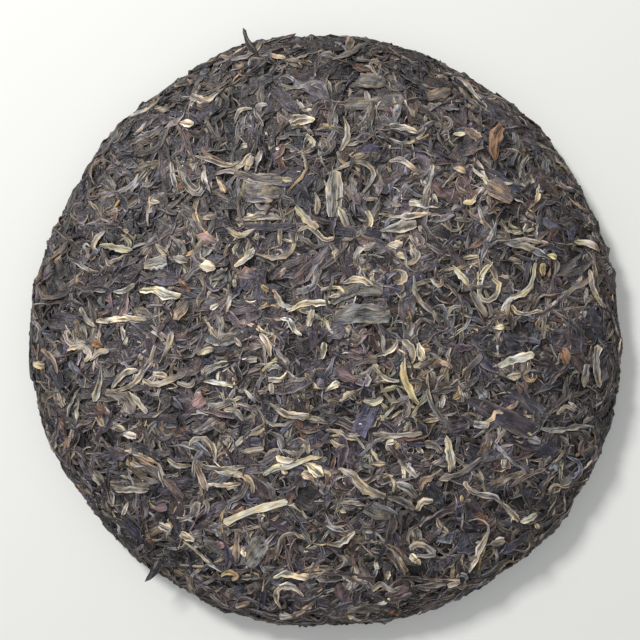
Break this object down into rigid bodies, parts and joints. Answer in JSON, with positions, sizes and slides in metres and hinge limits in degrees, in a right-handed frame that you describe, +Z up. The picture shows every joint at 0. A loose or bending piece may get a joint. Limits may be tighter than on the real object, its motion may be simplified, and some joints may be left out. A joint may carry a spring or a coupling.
{
  "type": "pu erh tea cake",
  "caption": "Round pressed cake of raw pu erh tea: a low domed disc of twisted dark, olive and golden leaves with a rounded rim, a flat ring to stand on and a dimple underneath.",
  "frame": {"origin": "on the ground under the middle of the cake", "axes": "+Z up through the thickness, the domed face up and the dimple down; +X to the right and +Y away as the face is looked at"},
  "size_m": [0.1971, 0.196, 0.025],
  "materials": {
    "pressed_tea": "dry, matt, dark brown",
    "dark_leaf": "dry leaf, dark brown with a faint cool sheen",
    "olive_leaf": "dry leaf, grey olive, matt",
    "golden_bud": "dry downy bud, pale gold, matt",
    "russet_leaf": "dry leaf, rust brown, matt",
    "pale_stem": "dry stem, straw coloured, matt"
  },
  "bodies": {
    "root": {"tea_cake": "pressed_tea"}
  },
  "joints": []
}
